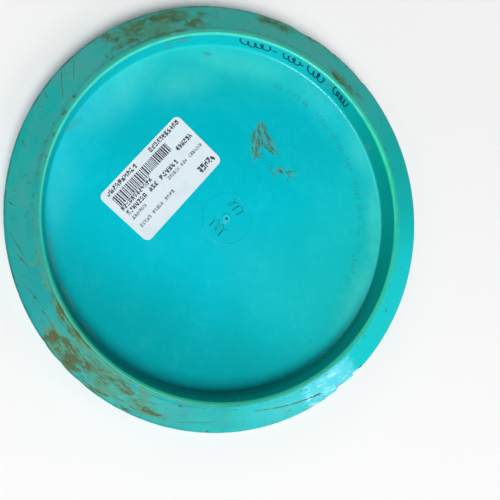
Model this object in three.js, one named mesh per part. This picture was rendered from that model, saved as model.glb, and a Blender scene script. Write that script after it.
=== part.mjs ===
// A golf flying disc of the fairway driver kind, lying upside down on its flight plate, with a
// paper price label stuck inside it. Millimetres, +Z up. The disc's axis is Z, and z = 0 is the
// lowest point of the dome, which is the top of the disc in flight.

import * as THREE from 'three';

// Disc, across
const DISC_RADIUS = 105.75;
const LIP_RADIUS = 89.7; // inner edge of the rim, where it opens
const PLATE_RADIUS = 88.35; // foot of the inner wall
const FLAT_RADIUS = 28; // middle of the flight plate, which is flat

// Disc, upwards as it lies here
const PLATE_THICKNESS = 2.4;
const DOME_RISE = 3; // rise of the flight plate from its middle to the inner wall
const RIM_DEPTH = 10.8; // from the rim's bottom face to the plate, at the inner wall
const NOSE_DROP = 5.5; // from the rim's bottom face to the widest edge

// Rim
const NOSE_ROUND = 1.2; // how far in from the widest edge its rounding reaches
const SHOULDER_SLOPE = 0.9; // of the shoulder where it meets the nose
const RIM_FACE_OUTER = 92; // the rim's bottom face is a flat ring out to this radius
const RIM_EDGE_WIDTH = 1.4; // rounded edge between that face and the wing
const RIM_EDGE_DROP = 0.8;
const LIP_SIZE = 1.1;
const FILLET_SIZE = 1.4;
const SHOULDER_RADIUS = 80; // where the flight plate starts to curve up into the rim

// Marks of the mould on the underside of the plate
const RING_RADIUS = 12.8;
const RING_WIDTH = 0.6;
const RING_HEIGHT = 0.15;
const GATE_RADIUS = 2.4;
const GATE_HEIGHT = 0.12;
const NUB_RADIUS = 0.5;
const NUB_HEIGHT = 0.4;

// Price label: a 2 1/4 by 1 1/4 inch sticker
const LABEL_LENGTH = 57.2;
const LABEL_WIDTH = 32;
const LABEL_THICKNESS = 0.15;
const LABEL_CORNER = 3;
const LABEL_GAP = 0.3; // adhesive and clearance under the paper
const LABEL_CENTRE = new THREE.Vector2(-33.2, 19.2);
const LABEL_TURN = THREE.MathUtils.degToRad(48.5);

// Fineness of the surfaces
const SEGMENTS = 96;
const CURVE_STEPS = 5;
const LABEL_COLUMNS = 14;
const LABEL_ROWS = 8;

const PLATE_Z = PLATE_THICKNESS; // underside of the plate, in the middle
const RIM_Z = PLATE_Z + DOME_RISE + RIM_DEPTH;
const NOSE_Z = RIM_Z - NOSE_DROP;

// Rise of the domed flight plate at a distance from the axis.
function domeRise(radius) {
  const beyondFlat = Math.max(radius - FLAT_RADIUS, 0);
  return DOME_RISE * (beyondFlat / (PLATE_RADIUS - FLAT_RADIUS)) ** 2;
}

// Domed stretch of the flight plate, from the path's point out or in to another radius. The
// control point halfway between the two radii makes the curve follow domeRise exactly.
function addDome(path, toRadius, baseZ) {
  const halfway = (path.currentPoint.x + toRadius) / 2;
  path.quadraticCurveTo(halfway, baseZ, toRadius, baseZ + domeRise(toRadius));
}

// Outside of the disc: the plate's flying face, the shoulder, the nose and the wing.
function addOutside(path) {
  const plateEnd = new THREE.Vector2(SHOULDER_RADIUS, domeRise(SHOULDER_RADIUS));
  const plateSlope = (2 * plateEnd.y) / (SHOULDER_RADIUS - FLAT_RADIUS);
  const reach = (DISC_RADIUS - SHOULDER_RADIUS) / 3;
  const lowerCorner = new THREE.Vector2(DISC_RADIUS, NOSE_Z - NOSE_ROUND / 2);
  const upperCorner = new THREE.Vector2(DISC_RADIUS, NOSE_Z + NOSE_ROUND / 2);
  const noseFoot = new THREE.Vector2(-1, -SHOULDER_SLOPE).multiplyScalar(NOSE_ROUND).add(lowerCorner);
  const wingTop = new THREE.Vector2(RIM_FACE_OUTER + RIM_EDGE_WIDTH, RIM_Z - RIM_EDGE_DROP);
  const wingFoot = upperCorner.clone().lerp(wingTop, NOSE_ROUND / (DISC_RADIUS - wingTop.x));

  path.moveTo(0, 0);
  path.lineTo(FLAT_RADIUS, 0);
  addDome(path, plateEnd.x, 0);
  path.bezierCurveTo(
    plateEnd.x + reach,
    plateEnd.y + reach * plateSlope,
    noseFoot.x - reach,
    noseFoot.y - reach * SHOULDER_SLOPE,
    noseFoot.x,
    noseFoot.y,
  );
  path.quadraticCurveTo(lowerCorner.x, lowerCorner.y, DISC_RADIUS, NOSE_Z);
  path.quadraticCurveTo(upperCorner.x, upperCorner.y, wingFoot.x, wingFoot.y);
  path.lineTo(wingTop.x, wingTop.y);
  path.quadraticCurveTo(RIM_FACE_OUTER + RIM_EDGE_WIDTH / 2, RIM_Z, RIM_FACE_OUTER, RIM_Z);
}

// Rim's bottom face, the rounded lip, the inner wall and its fillet onto the plate.
function addRimInside(path) {
  const filletTop = RIM_Z - RIM_DEPTH + FILLET_SIZE;
  const filletEnd = PLATE_RADIUS - FILLET_SIZE;

  path.lineTo(LIP_RADIUS + LIP_SIZE, RIM_Z);
  path.quadraticCurveTo(LIP_RADIUS, RIM_Z, LIP_RADIUS, RIM_Z - LIP_SIZE);
  path.lineTo(PLATE_RADIUS + 0.15, filletTop);
  path.quadraticCurveTo(
    PLATE_RADIUS,
    PLATE_Z + domeRise(PLATE_RADIUS),
    filletEnd,
    PLATE_Z + domeRise(filletEnd),
  );
}

// Underside of the plate, in to the axis, with the mould's ring and the gate's pad and nub.
function addUnderside(path) {
  addDome(path, FLAT_RADIUS, PLATE_Z);
  path.lineTo(RING_RADIUS + RING_WIDTH / 2, PLATE_Z);
  path.lineTo(RING_RADIUS, PLATE_Z + RING_HEIGHT);
  path.lineTo(RING_RADIUS - RING_WIDTH / 2, PLATE_Z);
  path.lineTo(GATE_RADIUS + GATE_HEIGHT, PLATE_Z);
  path.lineTo(GATE_RADIUS, PLATE_Z + GATE_HEIGHT);
  path.lineTo(NUB_RADIUS, PLATE_Z + GATE_HEIGHT);
  path.lineTo(NUB_RADIUS, PLATE_Z + NUB_HEIGHT);
  path.lineTo(0, PLATE_Z + NUB_HEIGHT);
}

function makeDiscBody() {
  const path = new THREE.Path();
  addOutside(path);
  addRimInside(path);
  addUnderside(path);
  const geometry = new THREE.LatheGeometry(path.getPoints(CURVE_STEPS), SEGMENTS);
  geometry.rotateX(Math.PI / 2);
  const material = new THREE.MeshStandardMaterial({ color: 0x0fbfc6, roughness: 0.38, metalness: 0 });
  return new THREE.Mesh(geometry, material);
}

// Brings a point of the label's full rectangle in to the arc of its nearest rounded corner.
function roundCorner(point) {
  const arcCentre = new THREE.Vector2(
    Math.sign(point.x) * (LABEL_LENGTH / 2 - LABEL_CORNER),
    Math.sign(point.y) * (LABEL_WIDTH / 2 - LABEL_CORNER),
  );
  const past = point.clone().sub(arcCentre);
  const inCorner = past.x * arcCentre.x > 0 && past.y * arcCentre.y > 0;
  if (inCorner && past.length() > LABEL_CORNER) {
    point.copy(arcCentre).add(past.setLength(LABEL_CORNER));
  }
  return point;
}

// The sheet is bent down onto the dome, so each of its points keeps one gap to the plate.
function makePriceLabel() {
  const geometry = new THREE.BoxGeometry(
    LABEL_LENGTH,
    LABEL_WIDTH,
    LABEL_THICKNESS,
    LABEL_COLUMNS,
    LABEL_ROWS,
    1,
  );
  const middleZ = PLATE_Z + LABEL_GAP + LABEL_THICKNESS / 2;
  const places = geometry.attributes.position;
  const origin = new THREE.Vector2();
  for (let i = 0; i < places.count; i += 1) {
    const point = roundCorner(new THREE.Vector2(places.getX(i), places.getY(i)));
    point.rotateAround(origin, LABEL_TURN).add(LABEL_CENTRE);
    places.setXYZ(i, point.x, point.y, places.getZ(i) + middleZ + domeRise(point.length()));
  }
  const material = new THREE.MeshStandardMaterial({ color: 0xe3edf3, roughness: 0.6, metalness: 0 });
  return new THREE.Mesh(geometry, material);
}

const group = new THREE.Group();

const discBody = makeDiscBody();
discBody.name = 'disc_body';
group.add(discBody);

const priceLabel = makePriceLabel();
priceLabel.name = 'price_label';
group.add(priceLabel);

export default group;
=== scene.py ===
import math
import random

import bpy
import numpy as np
from mathutils import Matrix, Vector, noise


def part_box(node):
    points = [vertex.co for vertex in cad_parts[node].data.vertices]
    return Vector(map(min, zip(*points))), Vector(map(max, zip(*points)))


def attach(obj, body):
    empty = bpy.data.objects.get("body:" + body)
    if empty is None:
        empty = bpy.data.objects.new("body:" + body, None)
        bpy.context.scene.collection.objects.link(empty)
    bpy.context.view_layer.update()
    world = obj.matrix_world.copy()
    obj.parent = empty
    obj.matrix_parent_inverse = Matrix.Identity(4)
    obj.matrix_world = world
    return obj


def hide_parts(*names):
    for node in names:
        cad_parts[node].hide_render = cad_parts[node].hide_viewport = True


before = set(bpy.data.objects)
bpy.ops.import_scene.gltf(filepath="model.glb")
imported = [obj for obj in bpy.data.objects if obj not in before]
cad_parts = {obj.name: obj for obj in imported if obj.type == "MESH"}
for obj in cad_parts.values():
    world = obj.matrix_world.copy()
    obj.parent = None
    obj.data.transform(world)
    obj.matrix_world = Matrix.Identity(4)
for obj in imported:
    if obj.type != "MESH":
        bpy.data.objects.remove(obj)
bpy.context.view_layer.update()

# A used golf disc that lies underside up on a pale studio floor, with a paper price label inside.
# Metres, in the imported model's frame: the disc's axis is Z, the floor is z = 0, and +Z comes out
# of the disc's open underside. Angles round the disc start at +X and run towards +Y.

SCENE = bpy.context.scene
MM = 0.001

# Disc: the two outer sizes come from the imported model, and the rest of the section is the CAD model's
DISC_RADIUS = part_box("disc_body")[1].x
RIM_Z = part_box("disc_body")[1].z
LIP_RADIUS = 89.7 * MM
PLATE_RADIUS = 88.35 * MM
FLAT_RADIUS = 28 * MM
PLATE_Z = 2.4 * MM
DOME_RISE = 3 * MM
RIM_DEPTH = 10.8 * MM
NOSE_Z = RIM_Z - 5.5 * MM
NOSE_ROUND = 1.2 * MM
SHOULDER_SLOPE = 0.9
SHOULDER_RADIUS = 80 * MM
RIM_FACE_OUTER = 92 * MM
RIM_EDGE_WIDTH = 1.4 * MM
RIM_EDGE_DROP = 0.8 * MM
LIP_SIZE = 1.1 * MM
FILLET_SIZE = 1.4 * MM
RING_RADIUS = 12.8 * MM
RING_WIDTH = 0.5 * MM
RING_HEIGHT = 0.06 * MM
GATE_RADIUS = 2.4 * MM
GATE_HEIGHT = 0.18 * MM
NUB_RADIUS = 0.5 * MM
NUB_HEIGHT = 0.4 * MM

# Radius and height where the rim's sloping outer face starts, and of its inner wall's top and foot
WING_TOP = (RIM_FACE_OUTER + RIM_EDGE_WIDTH, RIM_Z - RIM_EDGE_DROP)
WING_SLOPE = (WING_TOP[1] - NOSE_Z - NOSE_ROUND / 2) / (DISC_RADIUS - WING_TOP[0])
WALL_TOP = (LIP_RADIUS, RIM_Z - LIP_SIZE)
WALL_FOOT = (PLATE_RADIUS + 0.15 * MM, RIM_Z - RIM_DEPTH + FILLET_SIZE)

LABEL_LENGTH = 57.2 * MM
LABEL_WIDTH = 32 * MM
LABEL_CORNER = 3 * MM
LABEL_THICKNESS = 0.12 * MM
LABEL_TURN = math.radians(48.5)
LABEL_CENTRE = Vector((-33.2 * MM, 19.2 * MM))

# How far marks and print reach into the surface that they lie on, and how thick the ink is
MARK_SINK = 0.02 * MM
INK_SINK = 0.005 * MM
INK_THICKNESS = 0.02 * MM


# ---- Geometry helpers

def bezier(corners, steps):
    """Points of a Bezier curve of any degree, without its first point."""
    corners = [np.array(c, float) for c in corners]
    degree = len(corners) - 1
    points = []
    for t in np.linspace(0, 1, steps + 1)[1:]:
        weights = [math.comb(degree, i) * t**i * (1 - t) ** (degree - i) for i in range(degree + 1)]
        points.append(sum(w * c for w, c in zip(weights, corners)))
    return points


def dome_rise(radius):
    """Rise of the flight plate at a distance from the axis."""
    beyond_flat = np.maximum(np.asarray(radius) - FLAT_RADIUS, 0)
    return DOME_RISE * (beyond_flat / (PLATE_RADIUS - FLAT_RADIUS)) ** 2


def plate_height(x, y):
    """Height of the plate's underside, which is what shows from above."""
    return PLATE_Z + float(dome_rise(math.hypot(x, y)))


def make_object(name, vertices, faces, material, smooth=False):
    mesh = bpy.data.meshes.new(name)
    mesh.from_pydata([tuple(v) for v in vertices], [], faces)
    mesh.validate()
    mesh.update()
    mesh.polygons.foreach_set("use_smooth", [smooth] * len(mesh.polygons))
    mesh.materials.append(material)
    piece = bpy.data.objects.new(name, mesh)
    SCENE.collection.objects.link(piece)
    return piece


def place(piece, slot, *replaced):
    """Makes the piece ride on the disc and hides the CAD nodes that it stands for; slot is not used."""
    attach(piece, "root")
    if replaced:
        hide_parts(*replaced)


# ---- Shader helpers

def linear(value):
    """Brightness in the light for a value on the screen's curve, both from 0 to 1."""
    return value / 12.92 if value <= 0.04045 else ((value + 0.055) / 1.055) ** 2.4


def arithmetic(operation):
    """A method that works two values out with a math node."""
    return lambda value, other: value.shader.math(operation, value, other)


class Value:
    """A number that a shader node works out. Arithmetic on it adds more nodes."""

    def __init__(self, shader, socket):
        self.shader = shader
        self.socket = socket

    __add__ = arithmetic("ADD")
    __sub__ = arithmetic("SUBTRACT")
    __mul__ = arithmetic("MULTIPLY")
    __truediv__ = arithmetic("DIVIDE")

    def __rsub__(self, other):
        return self.shader.math("SUBTRACT", other, self)


class Shader:
    """A material's node tree, with short calls for the nodes that the materials here share."""

    def __init__(self, name):
        self.material = bpy.data.materials.new(name)
        self.material.use_nodes = True
        self.tree = self.material.node_tree
        self.principled = next(n for n in self.tree.nodes if n.type == "BSDF_PRINCIPLED")
        self.place = self.node("TexCoord").outputs["Object"]

    def node(self, kind, inputs=(), **settings):
        """A new node, with its inputs given by name or number."""
        node = self.tree.nodes.new("ShaderNode" + kind)
        for name, value in settings.items():
            setattr(node, name, value)
        for name, value in dict(inputs).items():
            self.feed(node.inputs[name], value)
        return node

    def feed(self, socket, value):
        """Gives an input its value. A tuple is a colour, by its 0 to 255 values on the screen."""
        if isinstance(value, Value):
            value = value.socket
        if isinstance(value, tuple):
            value = (*(linear(part / 255) for part in value), 1)
        if isinstance(value, bpy.types.NodeSocket):
            self.tree.links.new(value, socket)
        else:
            socket.default_value = value

    def math(self, operation, *values):
        return Value(self, self.node("Math", enumerate(values), operation=operation).outputs[0])

    def largest(self, first, *others):
        for other in others:
            first = self.math("MAXIMUM", first, other)
        return first

    def axes(self):
        """The place on the object as x, y and z, in millimetres."""
        outputs = self.node("SeparateXYZ", {"Vector": self.place}).outputs
        return [Value(self, output) / MM for output in outputs]

    def step(self, value, start, end, low=0, high=1):
        """Smooth step of value, from low at start to high at end."""
        ends = {"From Min": start, "From Max": end, "To Min": low, "To Max": high}
        node = self.node("MapRange", {"Value": value, **ends}, interpolation_type="SMOOTHSTEP")
        return Value(self, node.outputs[0])

    def band(self, value, start, end, blur):
        """1 between start and end, and 0 outside them."""
        return self.step(value, start - blur, start + blur) * self.step(value, end + blur, end - blur)

    def mix(self, cover, first, second):
        return self.node("Mix", {0: cover, 6: first, 7: second}, data_type="RGBA").outputs[2]

    def layers(self, base, *layers):
        """Colours laid over a base one after another, each given with its cover."""
        for cover, tint in layers:
            base = self.mix(cover, base, tint)
        return base

    def noise(self, scale, detail=3, roughness=0.55, vector=None):
        inputs = {"Vector": vector or self.place, "Scale": scale, "Detail": detail, "Roughness": roughness}
        return Value(self, self.node("TexNoise", inputs).outputs["Fac"])

    def attribute(self, name):
        return Value(self, self.node("Attribute", attribute_name=name).outputs["Fac"])

    def bump(self, height, distance, strength=1, under=None):
        """A normal bent by height, whose distance is in millimetres, over the normal under it."""
        node = self.node("Bump", {"Height": height, "Distance": distance * MM, "Strength": strength})
        if under is not None:
            self.feed(node.inputs["Normal"], under)
        return node.outputs["Normal"]

    def surface(self, **inputs):
        for name, value in inputs.items():
            self.feed(self.principled.inputs[name.replace("_", " ")], value)
        return self.material


# ---- Disc

def disc_section():
    """The disc's section as (radius, height) points, from the axis below to the axis above."""
    plate_end = dome_rise(SHOULDER_RADIUS)
    plate_slope = 2 * plate_end / (SHOULDER_RADIUS - FLAT_RADIUS)
    reach = (DISC_RADIUS - SHOULDER_RADIUS) / 3
    nose = (DISC_RADIUS, NOSE_Z)
    lower_corner = np.array((DISC_RADIUS, NOSE_Z - NOSE_ROUND / 2))
    upper_corner = np.array((DISC_RADIUS, NOSE_Z + NOSE_ROUND / 2))
    nose_foot = lower_corner - NOSE_ROUND * np.array((1, SHOULDER_SLOPE))
    wing_foot = upper_corner + (np.array(WING_TOP) - upper_corner) * NOSE_ROUND / (DISC_RADIUS - WING_TOP[0])
    fillet_end = PLATE_RADIUS - FILLET_SIZE
    ring_end = RING_RADIUS + RING_WIDTH / 2
    plate_rings = [*np.linspace(fillet_end, ring_end + 0.4 * MM, 42)[1:], ring_end + 0.1 * MM]

    points = [(r, dome_rise(r)) for r in np.linspace(0, SHOULDER_RADIUS, 16)]
    for steps, *corners in (
        (12, (SHOULDER_RADIUS + reach, plate_end + reach * plate_slope),
         nose_foot - reach * np.array((1, SHOULDER_SLOPE)), nose_foot),
        (4, lower_corner, nose),
        (4, upper_corner, wing_foot),
        (14, WING_TOP),
        (5, (RIM_FACE_OUTER + RIM_EDGE_WIDTH / 2, RIM_Z), (RIM_FACE_OUTER, RIM_Z)),
        (2, (LIP_RADIUS + LIP_SIZE, RIM_Z)),
        (6, (LIP_RADIUS, RIM_Z), WALL_TOP),
        (4, WALL_FOOT),
        (6, (PLATE_RADIUS, PLATE_Z + DOME_RISE), (fillet_end, PLATE_Z + dome_rise(fillet_end))),
    ):
        points += bezier([points[-1], *corners], steps)
    points += [(r, PLATE_Z + dome_rise(r)) for r in plate_rings]
    points += [(RING_RADIUS + RING_WIDTH * offset, PLATE_Z + RING_HEIGHT * height) for offset, height
               in ((0.5, 0), (0.3, 0.8), (0.1, 1), (-0.1, 1), (-0.3, 0.8), (-0.5, 0), (-0.7, 0))]
    points += [(r * MM, PLATE_Z) for r in (11.8, 9, 6, 3.4, 2.8, 2.55)]
    points += [
        (GATE_RADIUS, PLATE_Z + GATE_HEIGHT),
        (GATE_RADIUS - 0.2 * MM, PLATE_Z + GATE_HEIGHT),
        (NUB_RADIUS * 3, PLATE_Z + GATE_HEIGHT * 0.7),
        (NUB_RADIUS * 1.4, PLATE_Z + GATE_HEIGHT * 0.7),
        (NUB_RADIUS, PLATE_Z + GATE_HEIGHT),
        (NUB_RADIUS * 0.8, PLATE_Z + NUB_HEIGHT),
        (0, PLATE_Z + NUB_HEIGHT),
    ]
    return np.array(points)


# Dents of the nose: angle in degrees, then depth, and length before and after it, in millimetres
DENTS = (
    (90, 0.4, 14, 16), (79.5, 0.35, 7, 8), (69, 1.05, 12, 5), (58.5, 0.5, 7, 2.4), (54, 0.15, 3, 4),
    (46.5, 0.6, 7, 5), (38, 0.2, 5, 5), (31, 0.15, 6, 4), (24, 0.2, 4, 5), (14, 0.15, 5, 7),
    (128, 0.3, 5, 5), (118, 0.2, 6, 6), (-46.3, 0.4, 1.5, 1.5), (-50.1, 1.75, 1.1, 6.5),
    (-51.4, 0.6, 3, 1.2), (-56, 1.6, 2.4, 8.5), (-59.5, 0.4, 4, 3), (-64, 0.2, 3, 3), (-97, 0.25, 1.5, 1.5),
    (-133, 0.25, 4, 4), (-140, 0.3, 3, 3), (-146, 0.3, 1.5, 1.5),
)
DENT_CURVE = 1.3         # 1 makes straight-sided notches, and 2 makes round ones
DENT_REACH = 93.5 * MM   # dents leave alone what lies inside this radius
SHOULDER_LEVEL = 4 * MM  # and what lies lower than this
SMALL_DENTS = 70
SMALL_DENT_SPANS = ((0.04, 0.14), (0.8, 2.5), (0.8, 2.5))
SCRAPE_ANGLE = -58
SCRAPE_HALF_ANGLE = 11
SCRAPE_RADIUS = 92.2 * MM
SCRAPE_WAVER = 0.6 * MM
SCRAPE_BLUR = 1.4 * MM

# Marks on the rim: angle in degrees and radius of the middle, half length along the rim and half
# width across it in millimetres, strength, and tilt in degrees where there is one
RIM_FILM = (
    (120, 101.5, 11, 5, 1.15), (108, 101.5, 13, 5.5, 1.25), (99, 101, 9, 4, 0.6), (114, 96, 18, 4, 1.1),
    (103, 95.5, 9, 2.6, 1.1), (77, 102.4, 12, 3.4, 1.05), (67, 104.5, 7, 1.6, 0.9), (114, 92.8, 20, 1, 1.2),
    (59, 105, 8, 1.2, 0.7), (50, 94.6, 10, 2.4, 1.1, 8), (44, 97, 6, 3, 0.75, 20),
    (-140.5, 101, 11, 6, 1.4), (-147, 100, 5, 5, 1.1), (-132, 97, 13, 4.5, 1.15),
    (-127, 101.5, 14, 4, 0.95), (-118, 99, 10, 4.5, 1), (-150, 93.2, 10, 1.6, 1.2),
    (-140, 93.4, 12, 2, 1.2), (-128, 93.6, 13, 2.2, 1.05), (-118, 93.6, 9, 1.8, 0.8), (-123, 97, 7, 3, 1.1),
    (-112, 101.5, 9, 3, 0.75), (-88, 99, 14, 4, 0.2), (126, 101.5, 7, 4, 0.95), (-72, 103, 16, 2, 0.25),
    (124, 96, 9, 2.5, 0.95), (168, 93.6, 16, 1.6, 0.5), (-172, 92.8, 12, 1, 0.5), (-158, 93, 8, 1, 0.6),
)
# Painted highlight on the lower right of the rim's outer face, in the same columns as the marks above
RIM_SHEEN = ((-71, 99, 27, 9, 0.5), (-62, 94, 12, 3, 0.8))
RIM_DIRT = (
    (123, 104.2, 4, 1.3, 1), (126.6, 104.4, 3, 1, 1.05), (127, 102.2, 1.3, 2.2, 0.95, 30),
    (116, 102.5, 7, 2.6, 0.62), (107, 103.6, 9, 2, 0.65), (104, 95, 6, 1.2, 0.8),
    (120.5, 94.8, 2.2, 1.4, 0.8), (118, 99.5, 3, 2, 0.6, 20), (128, 101.7, 1, 1, 0.6),
    (77.5, 102.8, 6, 2.4, 0.85), (66.7, 104.7, 5, 1, 0.7), (53.4, 94, 5, 1.2, 0.9, 6),
    (47, 95.4, 6, 1.6, 0.95, 10), (51.5, 92.6, 6, 0.8, 0.85, 4), (44, 97.5, 3, 1.5, 0.6, 30),
    (145.6, 92.6, 1.2, 0.9, 1), (151.2, 92, 2, 0.9, 1), (158, 91.6, 2.5, 0.5, 0.8),
    (165, 91.6, 3, 0.5, 0.7), (-150.5, 92, 9, 0.6, 1.1), (-142.5, 91.9, 8, 0.6, 1),
    (-155.5, 92.6, 3.5, 0.8, 0.9), (-146, 100.4, 3, 2.4, 1), (-146.8, 104, 2, 1.4, 0.9),
    (-139.5, 102.6, 4, 2.4, 0.95, 10), (-136.5, 103, 5, 1.8, 0.85), (-134.6, 100.6, 4, 1.6, 0.7),
    (-143.5, 98.6, 5, 2, 0.7, -8), (-137, 100, 4, 2.4, 0.75, -10), (-134.6, 103.6, 4, 1.6, 0.6),
    (-135, 97.8, 5, 1.6, 0.75, 5), (-128, 104, 4, 0.8, 0.5, -5), (-127, 95.6, 4, 1.3, 0.7),
    (-126, 103.4, 3, 0.9, 0.7), (-121, 97.5, 5, 2, 0.7, 8), (-118, 99.5, 6, 1.1, 0.6, 10),
    (-113, 101, 7, 1.2, 0.7, 5), (-120, 104.4, 5, 0.8, 0.8), (-106.6, 94, 1, 0.6, 0.9),
    (-96.7, 105, 0.8, 1, 1), (-47.3, 104.6, 2.5, 0.8, 0.8), (-55, 104.6, 4, 0.7, 0.8),
    (-64, 105, 8, 0.5, 0.5), (-140, 101.4, 9, 4, 0.72), (-129, 97, 9, 3, 0.4), (-118, 99.5, 8, 2, 0.35, 8),
    (-147, 93.8, 14, 1.6, 0.6), (-134, 95.5, 10, 2, 0.55), (118, 102, 9, 3, 0.5),
    (108, 101.4, 10, 3.6, 0.55), (102, 95.6, 4, 1.6, 0.5), (-124, 94.8, 8, 1.2, 0.3),
    (-122, 97, 6, 2, 0.45), (121.5, 99.5, 4, 0.5, 0.6, 70), (119.6, 99, 4, 0.5, 0.6, 75),
    (117.6, 99.5, 3.5, 0.5, 0.55, 65), (125, 99.5, 2.2, 1.6, 0.95), (121.5, 96, 2.4, 1.4, 0.9, 10),
    (125.5, 95.5, 1.4, 1.2, 0.95), (131, 100.5, 0.9, 0.7, 1), (132, 94.6, 1.2, 0.5, 1, 40),
    (112.5, 101.8, 5, 2.4, 0.85), (103.5, 96.4, 6, 1.8, 0.8), (107.5, 102.5, 5, 2.4, 0.7),
)
RIM_MARKS_START = RIM_FACE_OUTER - 0.8 * MM
RIM_DEGREE = 1.75        # millimetres along the rim for each degree
SMEAR_FALLOFF = 1.1      # how fast a smear fades from its middle
# Marks on the plate: x and y of the middle, half length, half width, strength, and tilt from +X
PLATE_FILM = (
    (-84.8, -18.2, 12, 1.3, 0.95, 101), (-77.8, -38.6, 10, 1.4, 1, 117), (-68.4, -53.8, 10, 1.2, 0.8, 128),
    (58, 47, 3, 1.5, 0.3, -50), (66, 36, 4, 1.5, 0.35, -60), (71, 23, 4, 1.5, 0.3, -70),
    (36, 66, 6, 1.5, 0.25, -30), (18.6, 46.5, 6, 3.2, 1, 110), (15.6, 37.5, 8, 3.2, 1, 90),
    (23.6, 40, 8, 3.2, 1, 125), (29.5, 26.5, 6, 2.4, 0.72, -15), (35, 24.5, 4, 2, 0.62),
    (17.8, 41.5, 5, 2.4, 0.95, 100), (17.6, 34.4, 3, 2, 0.9, -20), (18.8, 49, 3, 2.6, 0.95),
    (-10.5, 83.2, 3.4, 1.2, 0.95, 5), (-75.6, 42, 9, 2.2, 0.7, 48), (-71.5, 49.5, 8, 2.2, 0.45, 52),
    (-32, 82.8, 3.4, 1.4, 0.6, 30), (53.6, 71.6, 6, 0.8, 0.75, -37), (78.4, 41, 4, 1, 0.6, -62),
    (-25, 85.6, 5, 0.5, 0.8, 16),
)
# Painted sheen on the plate: paler smears that stand in for soft reflections, in the columns of the marks
# above
PLATE_SHEEN = (
    (-54, 61, 30, 9, 0.85, 48), (-82, 14, 26, 7, 0.5, 80), (4, 80, 34, 6, 0.8, -4),
    (-24, 68, 18, 8, 0.6, 25), (74, -38, 22, 6, 0.85, 62), (50, 66, 20, 7, 0.5, -40),
    (84, 0, 30, 4, 0.95, 90), (75, 38, 18, 5, 0.65, 117), (14, -24, 30, 14, 0.12, -40),
)


def disc_angles():
    """Angles of the disc's meridians, closer together round the dented stretches of the nose."""
    fine = [(-60, -42), (20, 82)]
    angles = []
    angle = -180.0
    while angle < 180 - 0.1:
        angles.append(angle)
        angle += 0.25 if any(low <= angle < high for low, high in fine) else 0.75
    return np.radians(angles)


def nose_limit(angles):
    """How far out the disc reaches at each angle, after the dents."""
    limit = np.full(len(angles), DISC_RADIUS)
    chance = random.Random(5)
    small = [(chance.uniform(-180, 180), *(chance.uniform(*span) for span in SMALL_DENT_SPANS))
             for _ in range(SMALL_DENTS)]
    for angle, depth, before, after in list(DENTS) + small:
        turn = np.angle(np.exp(1j * (angles - math.radians(angle)))) * DISC_RADIUS / MM
        share = np.where(turn < 0, -turn / before, turn / after)
        limit = np.minimum(limit, DISC_RADIUS - depth * MM * (1 - share**DENT_CURVE))
    return limit


def smear_weight(u, v, smears, period=None):
    """The strongest of some oval smears at points u, v, which are in millimetres, as the smears are."""
    weight = np.zeros(np.shape(u))
    for centre_u, centre_v, half_length, half_width, strength, *tilt in smears:
        du = u - centre_u
        if period:
            du = (du + period / 2) % period - period / 2
        dv = v - centre_v
        turn = math.radians(tilt[0] if tilt else 0)
        cosine, sine = math.cos(turn), math.sin(turn)
        along = (du * cosine + dv * sine) / half_length
        across = (dv * cosine - du * sine) / half_width
        weight = np.maximum(weight, strength * np.exp(-SMEAR_FALLOFF * (along**2 + across**2)))
    return weight


def rim_weight(angle, radius, smears):
    along_rim = [(a * RIM_DEGREE, *rest) for a, *rest in smears]
    weight = smear_weight(np.degrees(angle) * RIM_DEGREE, radius / MM, along_rim, 360 * RIM_DEGREE)
    return weight * (radius > RIM_MARKS_START)


def scrape_weight(angle, radius):
    """Where the wing is scraped raw, from 0 to 1."""
    along = (np.degrees(angle) - SCRAPE_ANGLE) / SCRAPE_HALF_ANGLE
    inner = SCRAPE_RADIUS + SCRAPE_WAVER * np.sin(angle * 41)
    weight = np.clip((1 - along**2) * 1.4, 0, 1) * np.clip((radius - inner) / SCRAPE_BLUR, 0, 1)
    return weight * (radius > RIM_FACE_OUTER)


def scrape_grain(angle, radius, weight):
    """Torn plastic: ridges drawn out along the rim."""
    if weight == 0:
        return 0.0
    coarse = noise.noise(Vector((angle * 60, radius * 700, 1.5)))
    fine = noise.noise(Vector((angle * 190, radius * 1600, 7.5)))
    return weight * MM * (0.14 * coarse + 0.08 * fine - 0.05)


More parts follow.
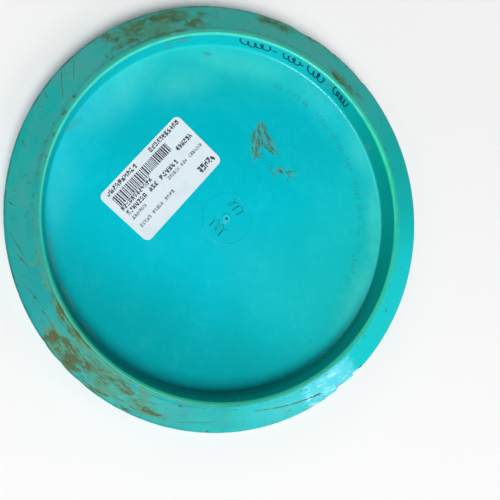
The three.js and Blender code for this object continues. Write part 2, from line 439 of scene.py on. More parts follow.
def make_disc(material):
    """Turns the section about the axis, dents the nose, tears the scraped stretch and maps the dirt and the
    painted sheen.
    """
    section = disc_section()
    angles = disc_angles()
    rings = section[1:-1]
    count = len(angles)
    angle = np.broadcast_to(angles, (len(rings), count))
    radius = np.repeat(rings[:, :1], count, axis=1)
    height = np.repeat(rings[:, 1:], count, axis=1)
    dented = (radius > DENT_REACH) & (height > SHOULDER_LEVEL)
    radius = np.where(dented, np.minimum(radius, nose_limit(angles)), radius)
    nose_ring = int(np.argmax(rings[:, 0]))
    underside = np.broadcast_to(np.arange(len(rings))[:, None] >= nose_ring - 2, radius.shape)
    scrape = scrape_weight(angle, radius) * underside
    height = height + np.vectorize(scrape_grain)(angle, radius, scrape)

    points = np.stack((radius * np.cos(angle), radius * np.sin(angle), height), axis=-1).reshape(-1, 3)
    ends = [(0, 0, section[0][1]), (0, 0, section[-1][1])]
    faces = [
        (ring * count + i, ring * count + (i + 1) % count,
         (ring + 1) * count + (i + 1) % count, (ring + 1) * count + i)
        for ring in range(len(rings) - 1) for i in range(count)
    ]
    below, above, last = len(points), len(points) + 1, (len(rings) - 1) * count
    for i in range(count):
        j = (i + 1) % count
        faces.append((below, j, i))
        faces.append((above, last + i, last + j))
    disc = make_object("disc", [*points, *ends], faces, material, smooth=True)

    # How strong each kind of mark is. Of the two points on the axis, only the one above is underside.
    x, y = radius * np.cos(angle) / MM, radius * np.sin(angle) / MM
    plate = radius < LIP_RADIUS
    for name, weight in (
        ("film", rim_weight(angle, radius, RIM_FILM)),
        ("dirt", rim_weight(angle, radius, RIM_DIRT)),
        ("stain", smear_weight(x, y, PLATE_FILM) * plate),
        # painted sheen: soft reflections and a rim highlight painted into the colour, not marks
        ("painted_sheen", smear_weight(x, y, PLATE_SHEEN) * plate + rim_weight(angle, radius, RIM_SHEEN)),
        ("scrape", scrape),
        ("underside", underside),
    ):
        values = [*(weight * underside).ravel(), 0, name == "underside"]
        attribute = disc.data.attributes.new(name, "FLOAT", "POINT")
        attribute.data.foreach_set("value", np.asarray(values, np.float32))
    return disc


# ---- Thin marks laid on a surface

class Solids:
    """Collects many small closed solids for one mesh."""

    def __init__(self):
        self.vertices = []
        self.faces = []

    def loft(self, loops):
        """A closed solid through loops of equally many points, which run anticlockwise seen from its end."""
        base, size = len(self.vertices), len(loops[0])
        for loop in loops:
            self.vertices.extend(loop)
        for k in range(len(loops) - 1):
            for i in range(size):
                j = (i + 1) % size
                start, end = base + k * size, base + (k + 1) * size
                self.faces.append((start + i, start + j, end + j, end + i))
        last = base + (len(loops) - 1) * size
        self.faces.append(tuple(base + i for i in reversed(range(size))))
        self.faces.append(tuple(last + i for i in range(size)))

    def ribbon(self, surface, path, half_width, thickness, taper=0.3):
        """A band, in millimetres, on a surface that gives a point and a normal for the path's u and v."""
        places = [surface(u, v) for u, v in path]
        loops = []
        for i, (point, normal) in enumerate(places):
            ahead = places[min(i + 1, len(places) - 1)][0] - places[max(i - 1, 0)][0]
            end = min(i, len(places) - 1 - i) == 0
            side = normal.cross(ahead).normalized() * half_width * MM * (taper if end else 1)
            low, high = point - normal * MARK_SINK, point + normal * thickness * MM
            loops.append([low - side, low + side, high + side, high - side])
        self.loft(loops)

    def stroke(self, surface, start, end, steps, half_width, thickness, taper=0.3):
        """A ribbon straight from start to end."""
        path = [[a + (b - a) * k / steps for a, b in zip(start, end)] for k in range(steps + 1)]
        self.ribbon(surface, path, half_width, thickness, taper)


def polar(turn, radius, height):
    return Vector((radius * math.cos(turn), radius * math.sin(turn), height))


def on_wing(angle, radius):
    """Point and normal of the rim's sloping outer face, from degrees and millimetres."""
    turn, r = math.radians(angle), radius * MM
    z = WING_TOP[1] - (r - WING_TOP[0]) * WING_SLOPE
    return polar(turn, r, z), polar(turn, WING_SLOPE, 1).normalized()


def on_wall(angle, height):
    """Point and normal of the rim's inner wall, from degrees and millimetres above the floor."""
    turn, z = math.radians(angle), height * MM
    share = (z - WALL_FOOT[1]) / (WALL_TOP[1] - WALL_FOOT[1])
    return polar(turn, WALL_FOOT[0] + share * (WALL_TOP[0] - WALL_FOOT[0]), z), polar(turn, -1, 0.1)


def on_plate(x, y):
    """Point and normal of the plate's underside, from millimetres."""
    x, y = x * MM, y * MM
    step = 0.1 * MM
    z = plate_height(x, y)
    normal = Vector((z - plate_height(x + step, y), z - plate_height(x, y + step), step)).normalized()
    return Vector((x, y, z)), normal


# ---- Marks on the disc

# Chance spans of a scribbled wave: its size, its loop, and the size and turn of the twist in it
WAVE_SPANS = ((0.65, 1.0), (0.5, 1.5), (-0.45, 0.45), (-1.5, 1.5))


def scribble(start, end, waves, rise, back, chance):
    """A looping pen line from start to end with waves across it; rise and back are its u and v size."""
    path = []
    steps = 16
    shapes = [[chance.uniform(*span) for span in WAVE_SPANS] for _ in range(waves + 1)]
    for k in range(waves * steps + 1):
        wave, within = min(divmod(k, steps), (waves - 1, steps))
        pairs = zip(shapes[wave], shapes[wave + 1])
        size, loop, twist, lean = (a + (b - a) * within / steps for a, b in pairs)
        phase = 2 * math.pi * k / steps
        share = k / (waves * steps)
        across = size * (math.cos(phase) + twist * math.cos(2 * phase + lean))
        along = loop * math.sin(phase) + twist * math.sin(2 * phase + lean)
        path.append([a + (b - a) * share + r * across + s * along
                     for a, b, r, s in zip(start, end, rise, back)])
    return path


def draw_marker(solids, chance):
    """Permanent marker on the inner wall, as plain loops and dashes between pairs of angles."""
    for start, end, waves in ((87, 77.2, 4), (72, 65.8, 3), (62, 56, 3), (50.5, 44, 4)):
        path = scribble((start, 11.4), (end, 11.2), waves, (0.3, 2.4), (0.75, 0.5), chance)
        solids.ribbon(on_wall, path, 0.42, 0.03, taper=0.6)
    for start, end in ((75.8, 74.2), (65.2, 63.9)):
        solids.stroke(on_wall, (start, 11.1), (end, 11.3), 3, 0.48, 0.03, taper=0.6)


def draw_pen_marks(solids, chance):
    """Pen marks round the middle, as plain loops."""
    for start, end, waves, rise, back in (
        ((2.4, 9.8), (7.6, 1.8), 3, (2.6, 1.5), (0.7, -1.1)),
        ((-8.4, -0.6), (-1.4, -8), 3, (2.2, 2.4), (0.5, -0.6)),
    ):
        solids.ribbon(on_plate, scribble(start, end, waves, rise, back, chance), 0.21, 0.02)


def draw_mould_marks(solids, chance):
    """A ring of faint raised bars near the edge of the plate, in groups."""
    angle = 70.0
    while angle > -70:
        for _ in range(chance.randint(3, 9)):
            inner = 74 + chance.choice((0, 0, 1.2))
            outer = 77.2 - chance.choice((0, 0, 1.4))
            turn = math.radians(angle)
            lean = turn + math.radians(chance.uniform(-0.4, 0.4))
            start = (inner * math.cos(turn), inner * math.sin(turn))
            end = (outer * math.cos(lean), outer * math.sin(lean))
            solids.stroke(on_plate, start, end, 2, 0.18, 0.1, taper=0.8)
            angle -= chance.uniform(0.8, 1.5)
        angle -= chance.uniform(1.2, 3.4)


# Long scratches: angle and radius of both ends, half width in millimetres
SCRATCHES = (
    (141.2, 105.2, 147.9, 95.5, 0.13), (137.1, 104.2, 141.8, 97.3, 0.12), (148.8, 104.6, 149.6, 101.6, 0.2),
    (162.2, 103.4, 163.9, 100.9, 0.16), (177.9, 103.7, 178.6, 102, 0.3), (178.6, 102, 179.2, 100.4, 0.12),
    (172.4, 97, 173, 95.2, 0.15), (175, 102, 175.2, 100.6, 0.14), (175.4, 93.6, 176.6, 93.4, 0.2),
    (-174.6, 103.6, -171.4, 101, 0.1), (-171.6, 101.2, -169.8, 99.8, 0.26),
    (-169.8, 99.8, -167.6, 98.8, 0.12), (-169.2, 102.2, -168, 100.6, 0.12),
    (-168.2, 100.8, -166.4, 99.2, 0.3), (-166.4, 99.2, -164.6, 97.9, 0.12),
    (-161.6, 102.2, -158.2, 100, 0.09), (-158.2, 100, -156.6, 99.4, 0.26), (-156.6, 99.4, -152.8, 98, 0.09),
    (-153.8, 99.6, -152, 99, 0.26), (-152, 99, -147.4, 98.8, 0.12), (-163.6, 102.1, -163, 100.6, 0.12),
    (-179.5, 96.2, -179.3, 95.7, 0.25), (-176.6, 96.2, -176.3, 95.8, 0.22),
    (-178.6, 96.7, -178.2, 96.3, 0.14), (-173.1, 94.2, -172.6, 94, 0.16),
    (-161.7, 98.7, -161.3, 98.3, 0.16), (17.7, 101.4, 18.3, 100.6, 0.35), (-14.8, 97.8, -14.2, 97.3, 0.3),
    (-4.2, 95.1, -3.6, 95, 0.25), (24.2, 94.2, 24.8, 93.9, 0.2), (-84.1, 95.7, -78, 97, 0.16),
    (-78, 97, -72.3, 98.4, 0.24), (-72.3, 98.4, -66, 99.9, 0.28), (-66, 99.9, -61.8, 101.2, 0.42),
    (130.4, 96.2, 130.8, 94.6, 0.3), (-29.6, 98.6, -28.4, 96.9, 0.35), (-27.2, 96.4, -26, 95.4, 0.12),
    (12, 99, 20, 102, 0.07), (60, 99, 66, 103, 0.08), (30, 97, 35, 102.5, 0.07),
    (-95, 99.5, -106, 102.2, 0.12),
)
SHORT_SCRATCHES = 170
FINE_SCRATCHES = 90
LIP_NICKS = 260
SCRATCH_END = 104.9      # scratches stop at this radius, short of the rounded nose


def draw_scratches(solids, chance):
    """Scratches of the rim's outer face that hold dirt: long, short, and fine ones at the lower left."""
    for angle_1, radius_1, angle_2, radius_2, half_width in SCRATCHES:
        solids.stroke(on_wing, (angle_1, radius_1), (angle_2, radius_2), 8, half_width, 0.015, taper=0.1)
    for _ in range(SHORT_SCRATCHES):
        on_left = chance.random() < 0.7
        angle = chance.uniform(140, 300) if on_left else chance.uniform(-180, 180)
        radius = chance.triangular(94, SCRATCH_END, 104.5)
        length = chance.uniform(0.5, 2.6)
        lean = math.radians(chance.gauss(35, 35))
        end_radius = min(SCRATCH_END, radius + length * math.sin(lean))
        end = (angle + length * math.cos(lean) / RIM_DEGREE, end_radius)
        solids.stroke(on_wing, (angle, radius), end, 2, chance.uniform(0.05, 0.13), 0.012, taper=0.2)
    for _ in range(FINE_SCRATCHES):
        angle = chance.gauss(-133, 11)
        radius = chance.uniform(93.4, 104.4)
        turn, drift = chance.uniform(1.5, 5), chance.gauss(0.2, 0.5)
        end = (angle + turn, min(SCRATCH_END, max(93.2, radius + drift)))
        solids.stroke(on_wing, (angle, radius), end, 4, chance.uniform(0.04, 0.11), 0.012, taper=0.2)


def draw_lip_nicks(solids, chance):
    """Nicks with dirt in them along the outer edge of the lip, fewer of them on the right."""
    for _ in range(LIP_NICKS):
        angle = chance.uniform(-180, 180)
        if -40 < angle < 100 and chance.random() < 0.45:
            continue
        radius = chance.gauss(93.55, 0.2)
        length = chance.uniform(0.4, 2.4)
        end = (angle + length / RIM_DEGREE, radius + chance.uniform(-0.25, 0.35))
        solids.stroke(on_wing, (angle, radius), end, 2, chance.uniform(0.06, 0.22), 0.015)


# Strokes of the stains on the plate: x and y of both ends, and half width, in millimetres
STROKES = (
    (15.8, 48.4, 18.4, 44.2, 0.65), (18.4, 50.4, 21.2, 48.2, 0.45), (20.8, 45.4, 23.8, 42.4, 0.65),
    (22.4, 44.6, 25.6, 40.4, 0.3), (19.2, 44.4, 19.8, 40, 0.35), (19.8, 40, 22.4, 37, 0.35),
    (22.4, 37, 26.2, 34.4, 0.45), (23.2, 39.4, 28.6, 34.8, 0.28), (20.8, 38.4, 25.4, 34.6, 0.25),
    (13.6, 44.4, 13.2, 39.6, 0.22), (13.6, 38.6, 14, 34.6, 0.45), (15.8, 39.8, 17.2, 37.6, 0.6),
    (14, 36.2, 16.4, 32.8, 0.7), (14.6, 30.8, 16.6, 33.2, 0.45), (16.6, 33.2, 20.6, 32.2, 0.4),
    (18.4, 35.6, 19.6, 34.4, 0.4), (16.8, 50.6, 15.6, 48.4, 0.25), (18, 51.4, 20.8, 51, 0.3),
    (16.6, 44.2, 19.2, 43, 0.22), (17.4, 43, 18.2, 37.4, 0.2), (23.2, 28, 25.4, 26, 0.3),
    (24.6, 29, 25, 27.4, 0.5), (24.4, 23.4, 26.2, 25, 0.6), (25.6, 24.4, 27.8, 23, 0.5),
    (28.2, 27, 30.8, 24.4, 0.95), (28.4, 26.6, 30.2, 24.6, 0.9), (29.2, 26.8, 31, 25.2, 0.7),
    (31.6, 25.6, 36.8, 26.2, 0.4), (33.2, 25, 36.8, 22, 0.45), (36.8, 26.2, 38.8, 26.8, 0.6),
    (33.4, 22.4, 33.2, 20.6, 0.6), (28.8, 28, 31.6, 28.2, 0.2), (-13.4, 83.6, -9, 82.8, 0.2),
    (15, 47, 14.6, 40, 0.9), (17, 42, 16.4, 35, 1.1), (20.4, 48, 24, 40, 0.9), (21, 41, 25.6, 36, 0.9),
    (17.6, 47, 19.8, 43, 0.8), (17.2, 44, 17.8, 38.4, 0.7), (18.8, 42.6, 19.4, 38, 0.5),
    (17.4, 50.4, 17.8, 47, 0.5), (19.2, 51, 19.6, 47.8, 0.6), (20.6, 50.2, 21.6, 46.6, 0.5),
    (15.6, 34.4, 19.4, 34, 0.6), (-85.8, -17.4, -85, -20, 0.15), (-83.2, -26.4, -81.8, -30.4, 0.2),
    (-79.4, -36.6, -77.6, -40.4, 0.2), (-74.6, -46, -72.4, -49.2, 0.15), (-81.2, -31.6, -80, -34.4, 0.3),
)
# Specks on the plate: x, y and half width in millimetres
SPECKS = (
    (-4.3, 57.5, 0.5), (-67.7, 34.3, 0.3), (-60, 60, 0.25), (-31, 67, 0.2), (71.4, -18.4, 0.45),
    (69.4, -18.8, 0.3), (44, -8, 0.2), (5, -50, 0.25), (52, 45, 0.2), (-20, -46, 0.2),
)


def draw_stain_flecks(solids, chance):
    """Dried dirt on the plate: specks, and strokes that are bundles of short curved fibres."""
    for x1, y1, x2, y2, half_width in STROKES:
        length = math.hypot(x2 - x1, y2 - y1)
        side = ((y1 - y2) / length, (x2 - x1) / length)
        for _ in range(int(2 + length * half_width * 3)):
            middle, half = chance.uniform(0.1, 0.9), chance.uniform(0.15, 0.4)
            first, last = max(middle - half, -0.05), min(middle + half, 1.05)
            offset, bow = half_width * chance.uniform(-1, 1), chance.gauss(0, 0.12)
            path = []
            for k in range(7):
                share = first + (last - first) * k / 6
                across = offset + bow * math.sin(math.pi * k / 6) + chance.gauss(0, 0.04)
                x = x1 + (x2 - x1) * share + side[0] * across
                y = y1 + (y2 - y1) * share + side[1] * across
                path.append((x, y))
            solids.ribbon(on_plate, path, chance.uniform(0.05, 0.16), 0.03, taper=0.2)
    solids.stroke(on_wall, (112.6, 14.3), (103.6, 14.5), 12, 0.5, 0.02, taper=0.2)
    for x, y, half_width in SPECKS:
        solids.stroke(on_plate, (x - half_width, y), (x + half_width, y + 0.1), 3, half_width, 0.04)


# ---- Label

def on_label(along, across, lift):
    """A point over the label, from millimetres along it from its left end and down from its top."""
    u = along * MM - LABEL_LENGTH / 2
    v = LABEL_WIDTH / 2 - across * MM
    cosine, sine = math.cos(LABEL_TURN), math.sin(LABEL_TURN)
    x = LABEL_CENTRE.x + u * cosine - v * sine
    y = LABEL_CENTRE.y + u * sine + v * cosine
    return Vector((x, y, plate_height(x, y) + LABEL_THICKNESS + lift))


def make_label(material):
    """A rounded sheet that follows the plate, in rows that are shorter towards its round corners."""
    length, width, corner = LABEL_LENGTH / MM, LABEL_WIDTH / MM, LABEL_CORNER / MM
    columns = 40
    corner_rows = [corner * (1 - math.sin(math.radians(a))) for a in (90, 75, 60, 45, 30, 15)]
    middle_rows = list(np.linspace(corner, width - corner, 15))
    rows = corner_rows + middle_rows + [width - r for r in reversed(corner_rows)]
    top, bottom = [], []
    for across in rows:
        into_corner = max(corner - min(across, width - across), 0)
        inset = corner - math.sqrt(corner**2 - into_corner**2)
        for k in range(columns + 1):
            along = inset + (length - 2 * inset) * k / columns
            top.append(on_label(along, across, 0))
            bottom.append(on_label(along, across, -LABEL_THICKNESS + 0.01 * MM))
    size, row_size = len(top), columns + 1
    row_starts = range(0, size, row_size)
    faces = []
    for row in row_starts[:-1]:
        for a in range(row, row + columns):
            b = a + row_size
            faces.append((a, b, b + 1, a + 1))
            faces.append((size + a, size + a + 1, size + b + 1, size + b))
    left = list(row_starts)
    right = [row + columns for row in reversed(row_starts)]
    last_row = row_starts[-1]
    edge = left + [last_row + k for k in range(1, columns)] + right + list(reversed(range(1, columns)))
    for a, b in zip(edge, edge[1:] + edge[:1]):
        faces.append((b, a, size + a, size + b))
    return make_object("label", top + bottom, faces, material)


def print_block(solids, left, right, top, bottom):
    """A block of ink between two distances along the label and two across it."""
    solids.loft([[
        on_label(along, bottom, -INK_SINK), on_label(along, top, -INK_SINK),
        on_label(along, top, INK_THICKNESS), on_label(along, bottom, INK_THICKNESS),
    ] for along in (left, right)])


def print_line(solids, left, right, top, bottom, characters, chance):
    """A line of made-up characters, each a chance pattern of blocks on a three by four grid."""
    pitch = (right - left) / characters
    block_width, block_height = pitch * 0.8 / 3, (bottom - top) / 4
    for character in range(characters):
        for column in range(3):
            for row in range(4):
                if chance.random() < 0.27:
                    continue
                x = left + character * pitch + column * block_width
                y = top + row * block_height
                print_block(solids, x, x + block_width * 0.93, y, y + block_height * 0.93)


def print_barcode(solids, left, right, top, bottom, chance):
    """Bars of chance widths."""
    at = left
    while at < right:
        bar = chance.choice((0.35, 0.55, 0.8))
        print_block(solids, at, min(at + bar, right), top, bottom)
        at += bar + chance.choice((0.35, 0.45, 0.6))


# Lines of print: both ends along the label, top and bottom across it, and how many characters
DARK_PRINT = (
    (3.6, 24.4, 1.3, 3.7, 10), (34, 55.4, 1.3, 3.7, 11), (3.4, 24.6, 11.1, 13.4, 12),
    (44.2, 55.4, 10.5, 12.9, 6), (3.8, 17.4, 14.3, 16.7, 7), (19.6, 25.6, 14.3, 16.7, 3),
    (27.8, 40.4, 14.3, 16.7, 6), (44.4, 55.6, 25.4, 29, 5),
)
FAINT_PRINT = (
    (3.8, 13.4, 18, 19.8, 6), (30.4, 38.6, 17.6, 19.4, 6), (40, 44.6, 17.6, 19.4, 3),
    (46.2, 55.6, 17.6, 19.4, 7), (3.6, 11.2, 23.3, 25.1, 5), (12.8, 20.2, 23.3, 25.1, 5),
    (21.8, 28.4, 23.3, 25.1, 4),
)
BARCODES = ((3.8, 24.6, 5.0, 10.9), (25, 42.8, 5.0, 10.2))


def draw_dark_print(solids, chance):
    for line in DARK_PRINT:
        print_line(solids, *line, chance)
    for barcode in BARCODES:
        print_barcode(solids, *barcode, chance)


def draw_faint_print(solids, chance):
    for line in FAINT_PRINT:
        print_line(solids, *line, chance)


# ---- Materials

PLATE_BLUE = (0, 190, 207)
PLATE_GREEN = (24, 190, 189)
PLATE_PALE = (76, 213, 214)
PLATE_MINT = (78, 214, 205)
PLATE_DULL = (0, 156, 160)
SPECK_TEAL = (0, 122, 128)
RING_SHADE = (0, 150, 160)
GATE_DARK = (0, 70, 80)
WALL_GREEN = (0, 164, 156)
WALL_SHADE = (0, 116, 108)
WALL_LIT = (12, 190, 197)
WING_TEAL = (0, 170, 164)
WING_LIT = (0, 194, 197)
WING_SHEEN = (100, 204, 206)
WING_GREY = (76, 154, 148)
WING_DUST = (104, 158, 142)
WING_DULL = (10, 146, 150)
WING_SHADE = (8, 144, 132)
SCRAPE_PALE = (78, 213, 229)
SCRAPE_WHITE = (158, 238, 246)
LIP_GREEN = (56, 166, 124)
LIP_FRESH = (48, 192, 150)
LIP_LIT_MINT = (80, 216, 192)
LIP_HIGHLIGHT = (122, 226, 178)
LIP_GLINT = (60, 232, 166)
NOSE_DARK = (52, 84, 60)
FILM_OLIVE = (74, 136, 108)
FILM_DARK = (74, 106, 72)
FILM_TAN = (90, 148, 120)
STAIN_TAN = (66, 158, 152)
DIRT_OLIVE = (82, 112, 78)
DIRT_BROWN = (96, 98, 62)
DIRT_DARK = (66, 84, 54)
MARK_BROWN = (52, 128, 122)


def disc_material():
    """Moulded plastic that is glossy, a little wavy, stained on its rim and scuffed."""
    s = Shader("teal_plastic")
    step, band, mix = s.step, s.band, s.mix
    x, y, height = s.axes()
    radius = s.math("SQRT", x * x + y * y)
    cosine, sine = x / radius, y / radius

    def around(turns, across, detail=4, roughness=0.7):
        """Noise drawn out along the rim, with about 6 patches a turn times turns, and across a metre."""
        inputs = {"X": cosine * turns, "Y": sine * turns, "Z": radius * (across * MM)}
        return s.noise(1, detail, roughness, s.node("CombineXYZ", inputs).outputs[0])

    underside = s.attribute("underside")
    painted_sheen = s.attribute("painted_sheen")
    scrape = s.attribute("scrape")
    wing = step(radius, 90.7, 91.5) * underside
    cloud = s.noise(14, 2)
    blotch = s.noise(55, 4)

    # Clean plate: slow changes of hue, painted shade towards the lower left, darker towards the top, paler
    # clouds of painted sheen, and a painted highlight along the right edge
    green_side = x - y * 0.4 + cloud * 80
    green = s.largest(step(green_side, 35, 150), step(y, 50, 76, 0, 0.75))
    shaded_side = y * 1.25 + x * 0.7 - cloud * 40
    mottle = s.noise(240, 5, 0.7) * 0.6 + s.noise(38, 4, 0.65) * 0.6
    speck = step(s.noise(1500, 2, 0.5), 0.7, 0.76, 0, 0.6) * step(s.noise(30, 2), 0.4, 0.65)
    plate = s.layers(
        mix(green, PLATE_BLUE, PLATE_GREEN),
        # painted shade towards the lower left; the next layer is darker towards the top
        (step(shaded_side, -55, -125, 0, 0.8), PLATE_DULL),
        (step(y, 5, 45, 0, 0.3) * step(radius, 82, 64), PLATE_DULL),
        # paler clouds of painted sheen
        (painted_sheen * step(blotch, 0.1, 0.75, 0.35, 0.75), mix(green, PLATE_PALE, PLATE_MINT)),
        # painted highlight along the plate's right edge
        (band(radius, 86.9, 87.8, 0.4) * step(cosine, 0.6, 0.95, 0, 0.6), PLATE_PALE),
        (step(mottle, 0.52, 0.72, 0, 0.12), PLATE_DULL),
        (step(mottle, 0.58, 0.42, 0, 0.06), PLATE_PALE),
        (speck, SPECK_TEAL),
    )

    # Inner wall, painted brighter and bluer on the side that faces the lamps, and painted shade at its foot
    # on the lower side
    wall = band(radius, 87.9, 91, 0.3) * step(height, 3.5, 5.5) * underside
    # painted light: the wall that faces the lamps is brighter and bluer
    lit_wall_side = step(sine * 1.2 - cosine * 0.8, -0.2, 0.9)
    # painted shade at the wall's foot on the lower side
    foot = step(height, 13, 6, 0.1, 0.42) * step(sine, 0, -0.6)
    wall_colour = mix(foot, mix(lit_wall_side, WALL_GREEN, WALL_LIT), WALL_SHADE)

    # Rim's outer face: painted light on the side that faces the lamps, painted shade at the lower left and
    # on the right, greyed on the other side, a painted highlight at the lower right, and torn at the scrape,
    # whose pale streaks are partly painted highlight
    # painted light on the lower right of the rim, the side that faces the lamps
    lit_side = step(cosine * 0.87 - sine * 0.5, 0.2, 0.95)
    dull = step(around(6, 110, 4, 0.65), 0.38, 0.6, 0, 0.4) * step(sine, 0.8, -0.2)
    grey = step(around(7, 160, 3, 0.6) * 0.55 + blotch * 0.35, 0.32, 0.6, 0.1, 0.75)
    grey = grey * step(sine - cosine, -0.7, 0.9) * step(sine, -0.4, 0.4, 0.55, 1)
    torn = step(around(22, 300) * 1.6 + scrape, 0.75, 1.65) * step(scrape, 0, 0.5)
    rim = s.layers(
        mix(lit_side, WING_TEAL, WING_LIT),
        # painted shade at the lower left and on the right
        (band(sine, -0.6, -0.1, 0.2) * step(cosine, -0.5, -0.8, 0, 0.45), WING_DULL),
        (band(sine, -0.05, 0.55, 0.2) * step(cosine, 0.5, 0.85, 0, 0.42), WING_SHADE),
        (dull * step(lit_side, 1, 0.3), WING_DULL),
        (grey, WING_GREY),
        (step(sine, 0.4, 0.85, 0, 0.16) * step(cosine, -0.6, -0.2), WING_DUST),
        # painted highlight at the lower right of the rim
        (painted_sheen, WING_SHEEN),
        (torn, SCRAPE_PALE),
        # pale streaks of the torn plastic, partly painted highlight
        (torn * step(around(15, 560, 3, 0.6), 0.5, 0.66, 0, 0.8), SCRAPE_WHITE),
    )

    # Lip: greener than the rest, with a ragged outer edge, painted light on its upper side, a painted
    # highlight at its upper right and, at the lower left, a pale line of painted highlight
    lip_start = step(sine, -0.2, 0.5) * -0.35 + 90.05
    lip_end = step(cosine, 0.4, 0.9) * 0.7 + around(60, 40, 4, 0.75) * 1.3 + 90.85
    lip = step(radius - lip_start, -0.2, 0.25) * step(radius - lip_end, 0.22, -0.22)
    lip = lip * step(height, 14.2, 15.4) * step(around(12, 700, 3, 0.7), 0.3, 0.65, 0.55, 1)
    # painted light on the inner side of the lip's upper half
    lip_lit = step(radius, 91, 90.4) * step(sine, -0.6, 0.5)
    # painted highlight on the lip at the upper right
    bright = band(sine, 0.2, 0.55, 0.15) * step(cosine, 0.6, 0.8, 0, 0.75) * step(radius, 91.5, 91)
    lip_colour = s.layers(
        mix(step(cosine, 0.5, 0.85), LIP_GREEN, LIP_FRESH), (lip_lit, LIP_LIT_MINT), (bright, LIP_GLINT),
    )
    # a pale line of painted highlight on the lip at the lower left
    lip_highlight_line = band(radius - step(cosine, -0.8, -0.3, 91.15, 91.5), -0.1, 0.1, 0.16)
    lip_highlight_line = lip_highlight_line * step(cosine, 0.05, -0.4) * step(sine, -0.1, -0.5) * underside

    # Dirt: a thin olive film, brown smears drawn out along the rim, and specks beside the lip
    upper = step(sine, -0.4, 0.4)
    drawn = around(22, 1100)
    spotted = around(32, 360)
    streak = drawn + (spotted - drawn) * upper * 0.8
    patch = around(14, 240, 4, 0.65)
    film_level = s.attribute("film") + patch * 2.2 + streak * 1.6
    film = step(film_level, 2.05, 2.85, 0, 0.85) * wing
    dirt_weight = s.attribute("dirt")
    dirt_level = dirt_weight + around(45, 3000) * 1.8 + streak * 2.4 + patch * 2
    dirt = step(dirt_level, 3.52, 3.78, 0, 0.88) * step(dirt_weight, 0.04, 0.2) * wing
    nose = step(radius, 104.5, 105.4) * step(patch, 0.35, 0.65, 0.25, 0.75)
    nose = nose * step(sine - cosine, -1, 0.2, 0.4, 1)
    lip_specks = band(radius, 92.4, 93.8, 0.7) * step(cosine, 0.6, -0.7, 0.05, 1)
    lip_specks = lip_specks * step(around(26, 500) + streak, 1.08, 1.3, 0, 0.6)
    lip_crack = band(radius, 91.7, 92, 0.2) * step(sine, -0.2, -0.6)
    lip_crack = lip_crack * step(around(60, 500), 0.44, 0.58, 0.1, 0.75)
    stain = step(s.attribute("stain") * s.noise(700, 4, 0.7), 0.15, 0.34, 0, 0.62)
    brown = mix(step(streak, 0.35, 0.65), DIRT_DARK, mix(upper, DIRT_BROWN, DIRT_OLIVE))
    smudge = step(around(15, 160, 4, 0.65), 0.46, 0.58, 0, 0.85) * upper
    film_colour = mix(smudge, mix(upper, FILM_TAN, FILM_OLIVE), FILM_DARK)

    # The last layers are the gate's dark middle, and painted shade along the edges of the gate and of the
    # moulded ring
    ring_edge_shade = s.largest(*(band(radius, r / MM - 0.1, r / MM + 0.2, 0.15) for r in (RING_RADIUS, GATE_RADIUS)))
    base = s.layers(
        mix(wing, mix(wall, plate, wall_colour), rim),
        (lip, lip_colour),
        (lip_highlight_line, LIP_HIGHLIGHT),
        (film, film_colour),
        (stain, STAIN_TAN),
        (nose * underside, NOSE_DARK),
        (s.largest(dirt, s.largest(lip_specks, lip_crack) * underside), brown),
        (band(radius, 0.9, 1.9, 0.3) * underside * 0.4, PLATE_PALE),
        (step(radius, 0.9, 0.4) * underside * 0.95, GATE_DARK),
        (ring_edge_shade * underside * 0.45, RING_SHADE),
    )

    soiled = s.largest(film, dirt, stain)
    edge = band(radius, 87, 90.9, 0.5) * underside * step(sine, -0.7, 0)
    dusty_edge = step(sine - cosine, 0.4, 1)
    rough = blotch * 0.1 + 0.22 + wing * 0.04 + soiled * 0.3 - scrape * 0.16
    rough = rough + edge * (dusty_edge * 0.42 - 0.12)
    shine = scrape * 0.22 - wing * lit_side * 0.1 + 0.16 + edge * (dusty_edge * -0.3 + 0.2)
    shine = shine * (1 - s.largest(soiled, nose))

    # Relief, from waves and pebbles of the moulding to scratches, wear, torn plastic and crusts of dirt
    normal = None
    for relief, distance, strength in (
        (s.noise(22, 2), 0.5, 0.6),
        (s.noise(1300), 0.012, 1),
        (around(5, 5200, 2, 0.5), 0.02, 0.7),
        ((wing + (1 - underside)) * around(90, 1500), 0.08, 1),
        (scrape * around(50, 900, 5, 0.7), 0.5, 1),
        (s.largest(dirt, stain), 0.05, 1),
    ):
        normal = s.bump(relief, distance, strength, normal)
    return s.surface(Base_Color=base, Roughness=rough, Normal=normal, Specular_IOR_Level=shine)


def paper_material():
    """Coated label paper: nearly smooth, a little soiled, with faint fibres."""
    s = Shader("label_paper")
    fibre = s.noise(2400, 3, 0.7)
    sheet = s.layers(
        (221, 234, 240),
        (s.step(fibre, 0.3, 0.7, 0, 0.5), (213, 227, 234)),
        (s.step(s.noise(120, 4), 0.45, 0.75, 0, 0.35), (198, 212, 222)),
    )
    creased = s.bump(s.noise(60), 0.12, 0.6)
    return s.surface(
        Base_Color=sheet, Roughness=0.62, Specular_IOR_Level=0.25, Normal=s.bump(fibre, 0.01, 1, creased),
    )


def ink_material(name, thick, thin, scale, roughness):
    """Ink or dried dirt that is thicker in some places than in others."""
    s = Shader(name)
    patch = s.noise(scale, 4, 0.65)
    return s.surface(
        Base_Color=s.mix(s.step(patch, 0.35, 0.68), thick, thin),
        Roughness=s.step(patch, 0.3, 0.7, roughness, roughness + 0.15),
        Specular_IOR_Level=0.25, Normal=s.bump(patch, 0.01),
    )


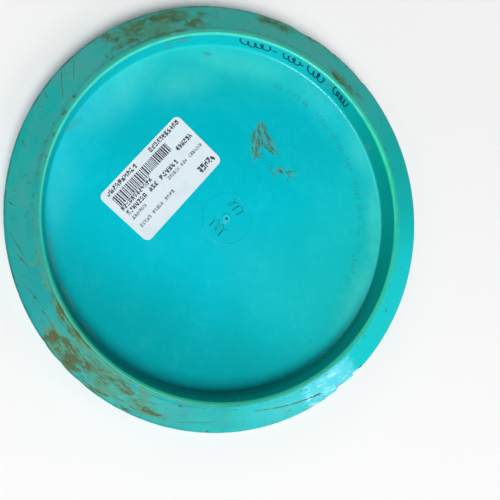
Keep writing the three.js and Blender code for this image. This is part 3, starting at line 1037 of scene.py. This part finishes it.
def raised_material():
    """The disc's plastic on the moulded marks, with old dirt on the marks of one side."""
    s = Shader("raised_plastic")
    patch = s.noise(170, 4, 0.7)
    plastic = s.mix(s.step(patch, 0.3, 0.7), (10, 186, 192), (60, 200, 204))
    dirty = s.step(s.axes()[1], -40, -28) * s.step(patch, 0.3, 0.6, 0.25, 0.75)
    base = s.mix(dirty, plastic, MARK_BROWN)
    return s.surface(Base_Color=base, Roughness=0.28, Specular_IOR_Level=0.3, Normal=s.bump(patch, 0.02))


def floor_material():
    s = Shader("studio_floor")
    tone = s.mix(s.step(s.noise(3), 0.3, 0.7), (240, 240, 240), (243, 243, 243))
    return s.surface(
        Base_Color=tone, Roughness=0.9, Specular_IOR_Level=0.1, Normal=s.bump(s.noise(900), 0.05, 0.5),
    )


# ---- Pieces

place(make_disc(disc_material()), "disc_plastic", "disc_body")
place(make_label(paper_material()), "label_paper", "price_label")

for name, slot, draw, seed, material in (
    ("label_print", "label_paper", draw_dark_print, 31,
     ink_material("print_black", (28, 30, 44), (62, 66, 84), 900, 0.55)),
    ("label_print_faint", "label_paper", draw_faint_print, 37,
     ink_material("print_grey", (96, 104, 118), (140, 148, 162), 900, 0.55)),
    ("marker_scribble", "disc_plastic", draw_marker, 11,
     ink_material("marker_ink", (8, 42, 54), (8, 66, 78), 700, 0.4)),
    ("pen_scribble", "disc_plastic", draw_pen_marks, 3,
     ink_material("pen_ink", (16, 118, 112), (8, 152, 150), 400, 0.4)),
    ("mould_marks", "disc_plastic", draw_mould_marks, 21, raised_material()),
    ("rim_scratches", "disc_plastic", draw_scratches, 8,
     ink_material("grime", (76, 82, 46), (58, 120, 98), 500, 0.7)),
    ("lip_nicks", "disc_plastic", draw_lip_nicks, 14,
     ink_material("lip_grime", (92, 84, 44), (70, 128, 84), 500, 0.7)),
    ("stain_flecks", "disc_plastic", draw_stain_flecks, 17,
     ink_material("dried_dirt", (66, 114, 94), (74, 148, 132), 600, 0.75)),
):
    marks = Solids()
    draw(marks, random.Random(seed))
    place(make_object(name, marks.vertices, marks.faces, material), slot)


# ---- Studio

FLOOR_HALF_SIZE = 3
LAMP_DISTANCE = 4
# Soft lamps: azimuth and elevation in degrees, width and height in metres, and power in watts
LAMPS = {
    "key": (-99, 58, 2, 2, 158),
    "window": (-74, 30, 1.1, 1.1, 18),
    "fill_right": (-16, 32, 1.8, 1.8, 19),
    "fill_back": (120, 30, 1.8, 1.8, 17),
    "strip": (-160, 34, 3, 0.1, 6.5),
}
# The sky: height from 0 at the horizon to 1 overhead, and how bright it is there
SKY = ((0.24, 0.6), (0.4, 0.04), (0.9, 0.01))
CAMERA_PLACE = Vector((-0.0948, -0.029, 0.3105))
CAMERA_TARGET = Vector((0.0098, -0.0161, NOSE_Z))
CAMERA_LENS = 45.65


def make_floor():
    size = FLOOR_HALF_SIZE
    corners = [(-size, -size, 0), (size, -size, 0), (size, size, 0), (-size, size, 0)]
    make_object("floor", corners, [(0, 1, 2, 3)], floor_material())


def make_lamp(name, azimuth, elevation, width, height, power):
    """A rectangular soft light that faces the disc."""
    lamp = bpy.data.lights.new(name, "AREA")
    lamp.shape = "RECTANGLE"
    lamp.size = width
    lamp.size_y = height
    lamp.energy = power
    lamp_object = bpy.data.objects.new(name, lamp)
    turn, rise = math.radians(azimuth), math.radians(elevation)
    away = Vector((math.cos(turn) * math.cos(rise), math.sin(turn) * math.cos(rise), math.sin(rise)))
    lamp_object.location = away * LAMP_DISTANCE
    lamp_object.rotation_euler = (-away).to_track_quat("-Z", "Y").to_euler()
    SCENE.collection.objects.link(lamp_object)


def make_sky():
    """A world that is brightest near the horizon and dark overhead."""
    world = bpy.data.worlds.new("studio")
    SCENE.world = world
    world.use_nodes = True
    tree = world.node_tree
    background = next(n for n in tree.nodes if n.type == "BACKGROUND")
    direction = tree.nodes.new("ShaderNodeTexCoord").outputs["Generated"]
    axes = tree.nodes.new("ShaderNodeSeparateXYZ")
    tree.links.new(direction, axes.inputs[0])
    ramp = tree.nodes.new("ShaderNodeValToRGB")
    tree.links.new(axes.outputs[2], ramp.inputs[0])
    stops = ramp.color_ramp.elements
    for position, level in SKY:
        stops.new(position).color = (level, level, level, 1)
    stops.remove(stops[0])
    stops.remove(stops[-1])
    tree.links.new(ramp.outputs[0], background.inputs["Color"])


def make_camera():
    camera = bpy.data.cameras.new("camera")
    camera.lens = CAMERA_LENS
    camera.clip_start = 0.01
    camera_object = bpy.data.objects.new("camera", camera)
    back = (CAMERA_PLACE - CAMERA_TARGET).normalized()
    right = Vector((0, 1, 0)).cross(back).normalized()
    turned = Matrix((right, back.cross(right), back)).transposed().to_4x4()
    camera_object.matrix_world = Matrix.Translation(CAMERA_PLACE) @ turned
    SCENE.collection.objects.link(camera_object)
    SCENE.camera = camera_object


make_floor()
for lamp_name, lamp_settings in LAMPS.items():
    make_lamp(lamp_name, *lamp_settings)
make_sky()
make_camera()
SCENE.view_settings.view_transform = "Standard"
